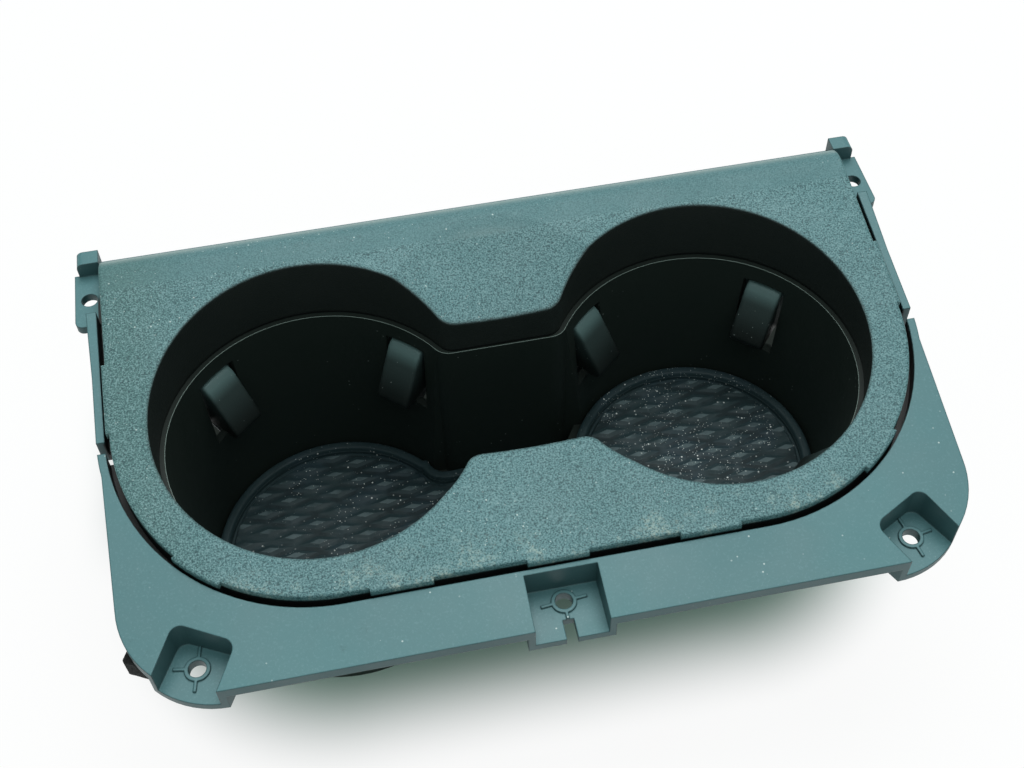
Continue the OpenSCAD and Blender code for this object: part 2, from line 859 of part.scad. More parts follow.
module right_mat() {
    r = right_floor_r - mat_gap;
    color([0.20, 0.22, 0.23]) placed() translate([cup_x, 0, right_floor_z]) {
        cylinder(r = r, h = mat_base_h);
        difference() {
            cylinder(r = r, h = mat_rim_h);
            translate([0, 0, -over]) cylinder(r = r - mat_rim_w, h = mat_rim_h + 2 * over);
        }
        cylinder(r = r - mat_rim_w - mat_groove_w, h = mat_tread_h);
    }
}

module screw() {
    low = ear_plate_z - ear_plate_t - seat_gap;
    difference() {
        union() {
            translate([0, 0, low - screw_head_h]) cylinder(r = screw_head_r, h = screw_head_h);
            translate([0, 0, low]) cylinder(r = screw_r, h = ear_plate_t + seat_gap + screw_grip);
        }
        translate([0, 0, low - screw_head_h - over]) {
            cylinder(r = screw_drive_r, h = screw_drive_depth + over, $fn = 6);
        }
    }
}

module liner_screws() {
    color([0.55, 0.56, 0.57]) placed() screw_places() screw();
}

module foam_pad() {
    color([0.08, 0.08, 0.08]) placed() translate([-foam_x, -foam_y, foam_top - foam_h])
        rotate([0, 0, -pocket_angle]) translate([-foam_l / 2, -foam_w / 2, 0])
            cube([foam_l, foam_w, foam_h]);
}

top_cover();
base_frame();
cup_liner();
left_mat();
right_mat();
liner_screws();
foam_pad();
finger(-1, -1, 1);  // left_rear_outer_finger
finger(-1, 1, 1);  // left_rear_inner_finger
finger(-1, -1, -1);  // left_front_outer_finger
finger(1, 1, 1);  // right_rear_outer_finger
finger(1, -1, 1);  // right_rear_inner_finger
finger(1, 1, -1);  // right_front_outer_finger
pin(-1, -1, 1);  // left_rear_outer_pin
pin(-1, 1, 1);  // left_rear_inner_pin
pin(-1, -1, -1);  // left_front_outer_pin
pin(1, 1, 1);  // right_rear_outer_pin
pin(1, -1, 1);  // right_rear_inner_pin
pin(1, 1, -1);  // right_front_outer_pin
leaf(-1, -1, 1);  // left_rear_outer_spring
leaf(-1, 1, 1);  // left_rear_inner_spring
leaf(-1, -1, -1);  // left_front_outer_spring
leaf(1, 1, 1);  // right_rear_outer_spring
leaf(1, -1, 1);  // right_rear_inner_spring
leaf(1, 1, -1);  // right_front_outer_spring
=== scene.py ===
import json
import math

import bmesh
import bpy
import numpy as np
from mathutils import Matrix, Vector


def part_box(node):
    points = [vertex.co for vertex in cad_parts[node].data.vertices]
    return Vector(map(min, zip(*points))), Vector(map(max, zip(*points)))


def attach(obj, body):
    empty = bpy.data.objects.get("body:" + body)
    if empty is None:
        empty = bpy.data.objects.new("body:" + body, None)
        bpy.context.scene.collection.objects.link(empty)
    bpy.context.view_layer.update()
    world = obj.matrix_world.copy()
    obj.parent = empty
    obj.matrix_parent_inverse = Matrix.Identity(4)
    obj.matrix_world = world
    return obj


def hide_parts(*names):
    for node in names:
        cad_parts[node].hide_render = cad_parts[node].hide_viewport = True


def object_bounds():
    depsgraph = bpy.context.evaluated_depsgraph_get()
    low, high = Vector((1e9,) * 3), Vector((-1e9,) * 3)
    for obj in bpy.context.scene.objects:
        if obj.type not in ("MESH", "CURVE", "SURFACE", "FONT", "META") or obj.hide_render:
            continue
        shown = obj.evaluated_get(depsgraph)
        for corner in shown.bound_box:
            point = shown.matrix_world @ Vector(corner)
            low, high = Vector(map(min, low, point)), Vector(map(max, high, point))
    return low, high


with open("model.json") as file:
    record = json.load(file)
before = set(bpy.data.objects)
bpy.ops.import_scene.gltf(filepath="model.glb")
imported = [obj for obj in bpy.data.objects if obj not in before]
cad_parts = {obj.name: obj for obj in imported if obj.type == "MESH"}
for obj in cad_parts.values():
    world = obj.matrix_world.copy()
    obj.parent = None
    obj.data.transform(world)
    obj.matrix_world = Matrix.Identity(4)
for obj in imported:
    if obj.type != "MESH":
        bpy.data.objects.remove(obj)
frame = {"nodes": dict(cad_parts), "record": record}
cad_box = [list(p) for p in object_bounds()]
nodes = frame["nodes"]
MM = 0.001

# Places taken from the frame: the tub's rim, the two cup axes and the part's reach
_, liner_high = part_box("cup_liner")
left_low, left_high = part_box("left_mat")
right_low, right_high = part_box("right_mat")
RIM_Z = liner_high.z
CUP_Y = (right_low.y + right_high.y) / 2
RIGHT_X = (right_low.x + right_high.x) / 2
LEFT_X = -RIGHT_X
HALF_LENGTH = cad_box[1][0]
REAR_Y = cad_box[1][1]

# The mats' tread: pitch, flat share, slimness and rise of its lozenges, and the level they rise from
LOZENGE_X = 6.95 * MM
LOZENGE_Y = 3.1 * MM
LOZENGE_TOP_SHARE = 0.32
LOZENGE_THIN = 1.45
LOZENGE_H = 0.4 * MM
TREAD_LOW_H = 1.7 * MM


# Camera, at the photograph's angle: its place and axes as fitted about the middle of the tub's rim
CAMERA_FROM_RIM = Vector((-37.7, -208.8, 286.0)) * MM
CAMERA_RIGHT = Vector((0.9808, -0.1944, -0.0166))
CAMERA_DOWN = Vector((-0.1645, -0.7785, -0.6057))
CAMERA_FORWARD = Vector((0.1048, 0.5967, -0.7956))
SENSOR_MM = 36
LENS_MM = 49.22
CLIP_START = 10 * MM

camera_data = bpy.data.cameras.new("camera")
camera_data.sensor_width = SENSOR_MM
camera_data.lens = LENS_MM
camera_data.clip_start = CLIP_START
camera = bpy.data.objects.new("camera", camera_data)
bpy.context.scene.collection.objects.link(camera)
turn = Matrix((CAMERA_RIGHT, -CAMERA_DOWN, -CAMERA_FORWARD)).transposed()
camera.matrix_world = Matrix.Translation(CAMERA_FROM_RIM + Vector((0, CUP_Y, RIM_Z))) @ turn.to_4x4()
bpy.context.scene.camera = camera


# Materials
class Tree:
    """A material's node tree, with short calls for the nodes that the finishes here use."""

    # Sockets of a Mix node set to colours, which repeat each other's names
    MIX_FACTOR = 0
    MIX_A = 6
    MIX_B = 7
    MIX_RESULT = 2
    # The range that most values of a noise lie in
    NOISE_LOW = 0.3
    NOISE_HIGH = 0.7
    # A grain of dust, in shares of its cell's size, and the noise that thickens dust in patches
    GRAIN_OUTER = 0.34
    GRAIN_INNER = 0.18
    DUST_LOW = 0.42
    DUST_HIGH = 0.62

    def __init__(self, name, color, roughness, specular=0.5):
        self.material = bpy.data.materials.new(name)
        self.material.use_nodes = True
        self.nodes = self.material.node_tree.nodes
        self.links = self.material.node_tree.links
        self.shader = self.nodes["Principled BSDF"]
        self.shader.inputs["Base Color"].default_value = (*color, 1)
        self.shader.inputs["Roughness"].default_value = roughness
        self.shader.inputs["Specular IOR Level"].default_value = specular
        self.color = self.constant(color)
        self.place = self.nodes.new("ShaderNodeTexCoord").outputs["Object"]

    def constant(self, color):
        node = self.nodes.new("ShaderNodeRGB")
        node.outputs[0].default_value = (*color, 1)
        return node.outputs[0]

    def feed(self, socket, value):
        """Sets a socket to a number or links it to another socket."""
        if isinstance(value, (int, float)):
            socket.default_value = value
        else:
            self.links.new(value, socket)

    def math(self, operation, a, b=0.0):
        node = self.nodes.new("ShaderNodeMath")
        node.operation = operation
        self.feed(node.inputs[0], a)
        self.feed(node.inputs[1], b)
        return node.outputs[0]

    def times(self, *factors):
        value = factors[0]
        for factor in factors[1:]:
            value = self.math("MULTIPLY", value, factor)
        return value

    def length(self, a, b):
        """Length of the vector a, b."""
        return self.math("SQRT", self.math("ADD", self.times(a, a), self.times(b, b)))

    def ramp(self, value, low, high):
        """0 where value is low, 1 where it is high, smooth between; low may be the larger."""
        node = self.nodes.new("ShaderNodeMapRange")
        node.interpolation_type = "SMOOTHSTEP"
        self.feed(node.inputs["Value"], value)
        node.inputs["From Min"].default_value = min(low, high)
        node.inputs["From Max"].default_value = max(low, high)
        node.inputs["To Min"].default_value = 0 if low < high else 1
        node.inputs["To Max"].default_value = 1 if low < high else 0
        return node.outputs["Result"]

    def noise(self, size, detail=3.0, rough=0.55):
        node = self.nodes.new("ShaderNodeTexNoise")
        self.links.new(self.place, node.inputs["Vector"])
        node.inputs["Scale"].default_value = 1 / size
        node.inputs["Detail"].default_value = detail
        node.inputs["Roughness"].default_value = rough
        return node.outputs["Fac"]

    def cells(self, size):
        node = self.nodes.new("ShaderNodeTexVoronoi")
        self.links.new(self.place, node.inputs["Vector"])
        node.inputs["Scale"].default_value = 1 / size
        return node

    def parts(self, vector):
        """The x, y and z of a vector."""
        node = self.nodes.new("ShaderNodeSeparateXYZ")
        self.links.new(vector, node.inputs[0])
        return node.outputs

    def past_axes(self, x):
        """How far x lies outward of the nearer cup axis, 0 between the two."""
        return self.math("MAXIMUM", self.math("SUBTRACT", self.math("ABSOLUTE", x), RIGHT_X), 0.0)

    def from_cups(self):
        """Distance, seen from above, from the straight line that joins the two cup axes."""
        x, y, _ = self.parts(self.place)
        return self.length(self.past_axes(x), self.math("SUBTRACT", y, CUP_Y))

    def below_cover(self):
        """Depth below the cover's sloping top."""
        _, y, z = self.parts(self.place)
        top = self.math("ADD", COVER_TOP_Z, self.times(self.math("SUBTRACT", y, CUP_Y), COVER_SLOPE))
        return self.math("SUBTRACT", top, z)

    def rounded(self, radius, samples=6):
        """The surface's normal, turned near its edges as if they were rounded."""
        node = self.nodes.new("ShaderNodeBevel")
        node.samples = samples
        node.inputs["Radius"].default_value = radius
        return node.outputs[0]

    def upward(self, normal):
        """How far a normal points up, 1 on a level face and 0 on an upright one."""
        return self.parts(normal)[2]

    def edges(self, radius, low=0.02, high=0.18):
        """1 along sharp edges within radius, 0 elsewhere."""
        flat = self.nodes.new("ShaderNodeNewGeometry").outputs["Normal"]
        node = self.nodes.new("ShaderNodeVectorMath")
        node.operation = "DOT_PRODUCT"
        self.links.new(self.rounded(radius, samples=8), node.inputs[0])
        self.links.new(flat, node.inputs[1])
        return self.ramp(self.math("SUBTRACT", 1.0, node.outputs["Value"]), low, high)

    def tint(self, color, *factors):
        """Mixes color in by the product of the factors."""
        amount = self.times(*factors)
        node = self.nodes.new("ShaderNodeMix")
        node.data_type = "RGBA"
        self.feed(node.inputs[self.MIX_FACTOR], amount)
        self.links.new(self.color, node.inputs[self.MIX_A])
        node.inputs[self.MIX_B].default_value = (*color, 1)
        self.color = node.outputs[self.MIX_RESULT]
        self.links.new(self.color, self.shader.inputs["Base Color"])

    def patches(self, color, size, low, high, share, detail=3.0, rough=0.55):
        """Mixes color in by up to share, in patches where a noise of this size is high."""
        self.tint(color, self.ramp(self.noise(size, detail, rough), low, high), share)

    def specks(self, color, size, share, strength, patch=30 * MM):
        """Grains of dust, one in each of a share of the cells of this size, thicker in patches."""
        cell = self.cells(size)
        value = self.nodes.new("ShaderNodeSeparateColor")
        self.links.new(cell.outputs["Color"], value.inputs[0])
        picked = self.math("LESS_THAN", value.outputs[0], share)
        grain = self.ramp(cell.outputs["Distance"], self.GRAIN_OUTER, self.GRAIN_INNER)
        spread = self.ramp(self.noise(patch, detail=2), self.DUST_LOW, self.DUST_HIGH)
        self.tint(color, picked, grain, spread, strength)

    def bump(self, height, depth, round_edge=0.0):
        """Bumps the surface by height, 0 to 1, over depth metres; edges look rounded by round_edge."""
        node = self.nodes.new("ShaderNodeBump")
        node.inputs["Distance"].default_value = depth
        self.links.new(height, node.inputs["Height"])
        if round_edge:
            self.links.new(self.rounded(round_edge), node.inputs["Normal"])
        self.links.new(node.outputs[0], self.shader.inputs["Normal"])

    def vary_roughness(self, low, high, size):
        """Lets the roughness run from low to high, in patches of about size."""
        node = self.nodes.new("ShaderNodeMapRange")
        self.links.new(self.noise(size, detail=4), node.inputs["Value"])
        node.inputs["From Min"].default_value = self.NOISE_LOW
        node.inputs["From Max"].default_value = self.NOISE_HIGH
        node.inputs["To Min"].default_value = low
        node.inputs["To Max"].default_value = high
        self.links.new(node.outputs["Result"], self.shader.inputs["Roughness"])


# Places on the cover: its slope, its height at the cup axes, where its rear edge rolls, and its mouths
COVER_SLOPE = math.tan(math.radians(8.5))
COVER_TOP_Z = RIM_Z + 13.3 * MM
ROLL_Y = CUP_Y + 40.5 * MM
MOUTH_R = 40.2 * MM

# Colours that more than one finish uses: pale dust, and the shade in seams and mouths
DUST = (0.635, 0.745, 0.731)
SHADE_COLOR = (0.00414, 0.0069, 0.0069)

COVER_COLOR = (0.083, 0.196, 0.210)
COVER_CLOUDS = (0.0938, 0.224, 0.241)
COVER_LEFT_SHADE = (0.0607, 0.155, 0.145)
GRAIN_PALE = (0.207, 0.362, 0.375)
GRAIN_DARK = (0.0193, 0.0635, 0.0718)
ROLL_HIGHLIGHT = (0.276, 0.362, 0.352)
END_EDGE_HIGHLIGHTS = (0.248, 0.4, 0.4)
SCUFFS = (0.455, 0.552, 0.483)
MOUTH_WALL_SHADE = (0.0146, 0.0207, 0.0185)


def cover_finish():
    """Grained satin plastic with painted shade that makes it near black inside the mouths and darker in its
    seam and at its left end, painted highlights along its rear and end edges, dusty and scuffed along its
    front.
    """
    t = Tree("cover_grain", COVER_COLOR, roughness=0.5, specular=0.40)
    t.vary_roughness(0.46, 0.60, size=12 * MM)
    t.patches(COVER_CLOUDS, size=35 * MM, low=0.38, high=0.70, share=0.7, detail=4)
    # painted shade that makes the left end darker and greener, and a grain that fades out on the rolled
    # rear edge
    x, y, z = t.parts(t.place)
    shaded_left_end = t.ramp(x, -72 * MM, -96 * MM)
    t.tint(COVER_LEFT_SHADE, shaded_left_end, 0.65)
    rolled = t.ramp(y, ROLL_Y, ROLL_Y + 2 * MM)
    grained = t.math("SUBTRACT", 1.0, t.times(rolled, 0.6))
    weave = t.noise(0.42 * MM, detail=1, rough=0.6)
    t.tint(GRAIN_PALE, t.ramp(weave, 0.50, 0.64), 0.60, grained)
    t.tint(GRAIN_DARK, t.ramp(weave, 0.47, 0.34), 0.80, grained)
    # painted highlights: a sheen where the rear edge turns down, and pale lines along the edges at the two
    # ends
    depth = t.below_cover()
    turned = t.times(t.ramp(depth, 0.3 * MM, 2.2 * MM), t.ramp(depth, 8.5 * MM, 5.0 * MM))
    t.tint(ROLL_HIGHLIGHT, rolled, turned, 0.75)
    at_ends = t.ramp(t.math("ABSOLUTE", x), 88 * MM, 92 * MM)
    t.tint(END_EDGE_HIGHLIGHTS, t.edges(0.4 * MM), at_ends, 0.45)
    # pale scuffs and settled dust on the rounded front edges
    front = t.ramp(y, CUP_Y - 38 * MM, CUP_Y - 49 * MM)
    streaks = t.ramp(t.noise(9 * MM, detail=6, rough=0.75), 0.48, 0.66)
    flecks = t.ramp(t.noise(0.7 * MM, detail=2, rough=0.7), 0.40, 0.60)
    t.tint(SCUFFS, front, streaks, flecks, 0.65)
    t.specks(DUST, size=0.8 * MM, share=0.018, strength=0.8)
    t.specks(DUST, size=0.5 * MM, share=0.035, strength=0.7)
    # the skirt down in the seam is in shade
    reach = t.from_cups()
    ahead = t.ramp(y, CUP_Y + 32 * MM, CUP_Y + 26 * MM)
    outside = t.ramp(reach, 46 * MM, 47 * MM)
    t.tint(SHADE_COLOR, t.ramp(depth, 1.3 * MM, 2.1 * MM), ahead, outside)
    # painted shade: the walls of the mouths are darkened to lie in shade as the tub does, darkest down near
    # the tub's rim
    steep = t.ramp(t.upward(t.rounded(2.4 * MM, samples=8)), 0.97, 0.50)
    wall = t.times(steep, t.ramp(reach, MOUTH_R + 4.6 * MM, MOUTH_R + 3.0 * MM))
    t.tint(MOUTH_WALL_SHADE, wall)
    t.tint(SHADE_COLOR, wall, t.ramp(z, RIM_Z + 1.2 * MM, RIM_Z + 0.4 * MM))
    t.bump(weave, depth=0.16 * MM, round_edge=1.3 * MM)
    return t.material


FRAME_COLOR = (0.080, 0.196, 0.212)
FRAME_CLOUDS = (0.0883, 0.226, 0.243)
FRAME_FLECKS = (0.179, 0.345, 0.362)
FRAME_MARKS = (0.0414, 0.116, 0.127)
FRAME_STEEP_SHADE = (0.0166, 0.0414, 0.0442)
FRAME_EDGE_SHADE = (0.0193, 0.0524, 0.0566)


def frame_finish():
    """Smooth satin plastic with a few marks, and painted shade in the seam round the cover, on steep faces
    and along edges.
    """
    t = Tree("frame_satin", FRAME_COLOR, roughness=0.46, specular=0.40)
    t.vary_roughness(0.38, 0.52, size=20 * MM)
    t.patches(FRAME_CLOUDS, size=40 * MM, low=0.40, high=0.70, share=0.6)
    t.patches(FRAME_FLECKS, size=0.6 * MM, low=0.52, high=0.70, share=0.22, detail=2, rough=0.7)
    t.patches(FRAME_MARKS, size=6 * MM, low=0.60, high=0.74, share=0.45, detail=6, rough=0.8)
    t.specks(DUST, size=0.8 * MM, share=0.018, strength=0.7)
    # painted shade: steep faces are darkened as they carry less light, and a fine dark line follows the
    # edges
    steep = t.ramp(t.upward(t.rounded(0.6 * MM)), 0.80, 0.20)
    t.tint(FRAME_STEEP_SHADE, steep, 0.68)
    t.tint(FRAME_EDGE_SHADE, t.edges(0.5 * MM), 0.60)
    # the well under the cover's edge is in shade, but for its rear
    x, y, _ = t.parts(t.place)
    ahead = t.math("MINIMUM", t.math("SUBTRACT", y, CUP_Y), 0.0)
    reach = t.length(t.past_axes(x), ahead)
    well = t.times(t.ramp(reach, 51.4 * MM, 51.1 * MM), t.ramp(y, CUP_Y + 48 * MM, CUP_Y + 44 * MM))
    t.tint(SHADE_COLOR, t.ramp(t.below_cover(), 1.9 * MM, 2.7 * MM), well)
    t.bump(t.noise(3 * MM), depth=0.03 * MM, round_edge=0.5 * MM)
    return t.material


TUB_COLOR = (0.0145, 0.0228, 0.0193)
TUB_DUST = (0.304, 0.359, 0.345)
TUB_RIM_LINE = (0.359, 0.469, 0.428)


def tub_finish():
    """Black moulded plastic with a thin pale line along its rim."""
    t = Tree("tub_black", TUB_COLOR, roughness=0.52, specular=0.30)
    t.vary_roughness(0.48, 0.62, size=10 * MM)
    t.specks(TUB_DUST, size=0.7 * MM, share=0.012, strength=0.7)
    _, _, z = t.parts(t.place)
    near_rim = t.ramp(z, RIM_Z - 0.6 * MM, RIM_Z - 0.3 * MM)
    t.tint(TUB_RIM_LINE, t.edges(0.25 * MM, low=0.01, high=0.08), near_rim)
    t.bump(t.noise(0.9 * MM), depth=0.03 * MM, round_edge=0.3 * MM)
    return t.material


FINGER_COLOR = (0.00552, 0.00966, 0.00897)
FINGER_UPPER_LIGHT = (0.0359, 0.058, 0.0566)
FINGER_TOP_HIGHLIGHT = (0.11, 0.19, 0.188)
FINGER_DUST = (0.414, 0.497, 0.483)


def finger_finish():
    """Black plastic, with painted light that makes it paler towards the fingers' tops."""
    t = Tree("finger_black", FINGER_COLOR, roughness=0.52, specular=0.28)
    t.vary_roughness(0.44, 0.58, size=6 * MM)
    _, _, z = t.parts(t.place)
    # painted light: paler up the fingers and palest near their tops, darker deeper down in the cup
    t.tint(FINGER_UPPER_LIGHT, t.ramp(z, RIM_Z - 20 * MM, RIM_Z - 10 * MM), 0.9)
    t.tint(FINGER_TOP_HIGHLIGHT, t.ramp(z, RIM_Z - 11 * MM, RIM_Z - 7 * MM), 0.9)
    t.specks(FINGER_DUST, size=0.5 * MM, share=0.03, strength=0.6, patch=8 * MM)
    t.bump(t.noise(0.5 * MM, rough=0.7), depth=0.06 * MM, round_edge=1.5 * MM)
    return t.material


RUBBER_COLOR = (0.023, 0.046, 0.051)
RUBBER_CLOUDS = (0.030, 0.056, 0.072)
RUBBER_VALLEY_SHADE = (0.0069, 0.0152, 0.0179)
RUBBER_TOPS_PALE = (0.0966, 0.144, 0.152)
RUBBER_GRAINS = (0.759, 0.856, 0.828)
RUBBER_FLAKES = (0.828, 0.9, 0.883)


def rubber_finish(name, dust, base_z):
    """Dark rubber, with painted shade between its lozenges, paler on their tops, and with loose dust in
    grains.
    """
    t = Tree(name, RUBBER_COLOR, roughness=0.55, specular=0.25)
    t.vary_roughness(0.45, 0.65, size=4 * MM)
    t.patches(RUBBER_CLOUDS, size=14 * MM, low=0.42, high=0.7, share=0.6, detail=4)
    _, _, z = t.parts(t.place)
    tread_z = base_z + TREAD_LOW_H
    top_z = tread_z + LOZENGE_H
    # painted shade in the valleys between the lozenges
    valley = t.times(t.ramp(z, tread_z + 0.05 * MM, tread_z + 0.01 * MM),
                     t.ramp(z, tread_z - 0.2 * MM, tread_z - 0.1 * MM))
    t.tint(RUBBER_VALLEY_SHADE, valley, t.ramp(t.noise(8 * MM), 0.35, 0.60), 0.6)
    # paler on the lozenges' tops
    pale_tops = t.times(t.ramp(z, tread_z + LOZENGE_H * 0.93, tread_z + LOZENGE_H * 0.985),
                   t.ramp(z, top_z + 0.2 * MM, top_z + 0.1 * MM))
    t.tint(RUBBER_TOPS_PALE, pale_tops, t.ramp(t.noise(9 * MM), 0.30, 0.55), 0.9)
    t.specks(RUBBER_GRAINS, size=0.5 * MM, share=0.09 * dust, strength=0.9, patch=14 * MM)
    t.specks(RUBBER_FLAKES, size=0.9 * MM, share=0.05 * dust, strength=0.9, patch=10 * MM)
    t.bump(t.noise(0.6 * MM), depth=0.05 * MM)
    return t.material


def metal_finish(name, color, roughness):
    """Plain metal with an uneven polish."""
    t = Tree(name, color, roughness)
    t.shader.inputs["Metallic"].default_value = 1.0
    t.vary_roughness(roughness - 0.06, roughness + 0.10, size=2 * MM)
    t.bump(t.noise(0.4 * MM, detail=2), depth=0.01 * MM, round_edge=0.1 * MM)
    return t.material


PIN_COLOR = (0.828, 0.842, 0.856)
SPRING_COLOR = (0.138, 0.145, 0.152)
ZINC_COLOR = (0.635, 0.649, 0.662)
FOAM_COLOR = (0.0138, 0.0138, 0.0138)
FOAM_PALE = (0.0483, 0.0483, 0.0483)


def foam_finish():
    """Black open-cell foam."""
    t = Tree("foam_black", FOAM_COLOR, roughness=0.95)
    t.patches(FOAM_PALE, size=0.6 * MM, low=0.5, high=0.7, share=0.5)
    t.bump(t.cells(0.5 * MM).outputs["Distance"], depth=0.2 * MM)
    return t.material


# The finishes, by the material slots of the CAD nodes; each mat has a rubber of its own
finishes = {
    "cover_plastic": cover_finish(),
    "frame_plastic": frame_finish(),
    "tub_plastic": tub_finish(),
    "finger_plastic": finger_finish(),
    "pin_steel": metal_finish("pin_steel", PIN_COLOR, roughness=0.30),
    "spring_steel": metal_finish("spring_steel", SPRING_COLOR, roughness=0.45),
    "zinc_screw": metal_finish("zinc_screw", ZINC_COLOR, roughness=0.40),
    "foam": foam_finish(),
}
left_rubber = rubber_finish("left_mat_rubber", dust=1.0, base_z=left_low.z)
right_rubber = rubber_finish("right_mat_rubber", dust=2.4, base_z=right_low.z)
finishes["mat_rubber"] = left_rubber

CAD_SHARP_DEG = 28
MAT_SHARP_DEG = 50
SKIN_VOXEL = 0.32 * MM
SKIN_SOFTNESS = 0.5
SKIN_PASSES = 18


def smooth(mesh, degrees):
    """Smooth shading, with edges sharper than this angle kept sharp."""
    mesh.shade_smooth()
    mesh.set_sharp_from_angle(angle=math.radians(degrees))


# Every CAD node gets its finish, and the fingers' edges are softened
for part in frame["record"]["subparts"]:
    piece = nodes[part["node"]]
    piece.data.materials.clear()
    piece.data.materials.append(finishes[part["material_slot"]])
    smooth(piece.data, CAD_SHARP_DEG)
    if part["material_slot"] == "finger_plastic":
        skin = piece.modifiers.new("even_skin", "REMESH")
        skin.mode = "VOXEL"
        skin.voxel_size = SKIN_VOXEL
        skin.use_smooth_shade = True
        soft = piece.modifiers.new("soft_edges", "SMOOTH")
        soft.factor = SKIN_SOFTNESS
        soft.iterations = SKIN_PASSES


# Mats: a round-edged rim, a groove and a tread of staggered lozenges, on rings of vertices
RIM_W = 2.66 * MM
RIM_ROUND = 0.5 * MM
GROOVE_H = 1.0 * MM
GROOVE_END = RIM_W + 0.72 * MM
TREAD_START = RIM_W + 1.26 * MM
FOOT_LIFT = 0.05 * MM
EDGE_RINGS = np.array([0, 0.15, 0.5, 1.0, 1.7, 2.2, 2.55, 2.75, 3.0, 3.4, 3.65, 3.9]) * MM
INNER_RINGS = 76
INNERMOST_SHARE = 0.004
SPOKES = 720
SPOKES_AT_ONCE = 90


def step(v, low, high):
    """0 up to low, 1 from high on, smooth between."""
    u = np.clip((v - low) / (high - low), 0, 1)
    return u * u * (3 - 2 * u)


def lozenge(x, y):
    """Height of the tread over its low level: long flat-topped lozenges on a staggered grid."""
    row = np.round(y / LOZENGE_Y)
    nearest = np.full(x.shape, np.inf)
    for r in (row - 1, row, row + 1):
        shift = np.where(np.mod(r, 2) == 0, 0.0, LOZENGE_X)
        dx = np.abs(np.mod(x - shift + LOZENGE_X, 2 * LOZENGE_X) - LOZENGE_X)
        nearest = np.minimum(nearest, dx / LOZENGE_X + LOZENGE_THIN * np.abs(y - r * LOZENGE_Y) / LOZENGE_Y)
    return LOZENGE_H * step(1 - nearest, 0, 1 - LOZENGE_TOP_SHARE)


def mat(name, node, centre, reach, rim_h, material):
    """A mat round centre, with its edge at reach(angle) and its underside on the node's lowest level."""
    low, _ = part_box(node)
    angle = np.arange(SPOKES) * 2 * math.pi / SPOKES
    edge_r = np.array([reach(a) for a in angle])
    outline_x = centre.x + edge_r * np.cos(angle)
    outline_y = centre.y + edge_r * np.sin(angle)
    inner = np.linspace(1, INNERMOST_SHARE, INNER_RINGS)
    rings = [edge_r - d for d in EDGE_RINGS] + [(edge_r - EDGE_RINGS[-1]) * s for s in inner[1:]]
    points = []
    for ring in rings:
        x = centre.x + ring * np.cos(angle)
        y = centre.y + ring * np.sin(angle)
        # each vertex's distance from the edge, found for some of the spokes at once
        inside = np.zeros(SPOKES)
        for i in range(0, SPOKES, SPOKES_AT_ONCE):
            dx = x[i:i + SPOKES_AT_ONCE, None] - outline_x[None, :]
            dy = y[i:i + SPOKES_AT_ONCE, None] - outline_y[None, :]
            inside[i:i + SPOKES_AT_ONCE] = np.sqrt(np.min(dx * dx + dy * dy, 1))
        outer_round = RIM_ROUND * (1 - step(inside, 0, RIM_ROUND))
        inner_round = RIM_ROUND * step(inside, RIM_W - RIM_ROUND, RIM_W)
        tread = TREAD_LOW_H + lozenge(x - centre.x, y - centre.y)
        floor_h = GROOVE_H + (tread - GROOVE_H) * step(inside, GROOVE_END, TREAD_START)
        height = np.where(inside < RIM_W, rim_h - outer_round - inner_round, floor_h)
        points.append(np.stack([x, y, low.z + height], 1))
    foot = points[0].copy()
    foot[:, 2] = low.z + FOOT_LIFT
    points.insert(0, foot)
    faces = []
    for k in range(len(points) - 1):
        a, b = k * SPOKES, (k + 1) * SPOKES
        faces += [(a + i, a + (i + 1) % SPOKES, b + (i + 1) % SPOKES, b + i) for i in range(SPOKES)]
    faces.append(tuple(range((len(points) - 1) * SPOKES, len(points) * SPOKES)))
    mesh = bpy.data.meshes.new(name)
    mesh.from_pydata([tuple(v) for v in np.concatenate(points)], [], faces)
    mesh.update()
    smooth(mesh, MAT_SHARP_DEG)
    mesh.materials.append(material)
    piece = bpy.data.objects.new(name, mesh)
    bpy.context.scene.collection.objects.link(piece)
    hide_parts(node)
    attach(piece, "holder")


LEFT_MAT_R = LEFT_X - left_low.x
RIGHT_MAT_R = (right_high.x - right_low.x) / 2
NECK_HALF = 18.4 * MM
NECK_CORNER_R = 5 * MM
NECK_FROM_X = LEFT_MAT_R * 0.5
PLINTH_R = RIGHT_MAT_R + 3.2 * MM
REACH_STEP = 0.1 * MM


def on_left_mat(x, y):
    """Whether a place, measured from the left cup's axis, is on the left mat; y isn't negative."""
    if math.hypot(x, y) <= LEFT_MAT_R:
        return True
    if math.hypot(x - (RIGHT_X - LEFT_X), y) < PLINTH_R:
        return False
    if y <= NECK_HALF:
        return True
    corner_y = NECK_HALF + NECK_CORNER_R
    corner_x = math.sqrt((LEFT_MAT_R + NECK_CORNER_R) ** 2 - corner_y ** 2)
    in_corner = NECK_FROM_X < x < corner_x and y < corner_y
    return in_corner and math.hypot(x - corner_x, y - corner_y) > NECK_CORNER_R


def left_reach(a):
    """The left mat's edge: a circle that runs on into the neck, up to the right cup's plinth."""
    d = LEFT_MAT_R
    if math.cos(a) <= 0:
        return d
    while on_left_mat((d + REACH_STEP) * math.cos(a), (d + REACH_STEP) * abs(math.sin(a))):
        d += REACH_STEP
    return d


mat("left_mat_tread", "left_mat", Vector((LEFT_X, CUP_Y, 0)), left_reach,
    left_high.z - left_low.z, left_rubber)
mat("right_mat_tread", "right_mat", Vector((RIGHT_X, CUP_Y, 0)), lambda a: RIGHT_MAT_R,
    right_high.z - right_low.z, right_rubber)


# Foam pad: a rounded block with an uneven surface
FOAM_MERGE = 0.01 * MM
FOAM_FLAT_ANGLE = 0.02
FOAM_EDGE_R = 0.8 * MM
FOAM_CUTS = 5
FOAM_UNEVEN = 0.03
FOAM_SEED = 7


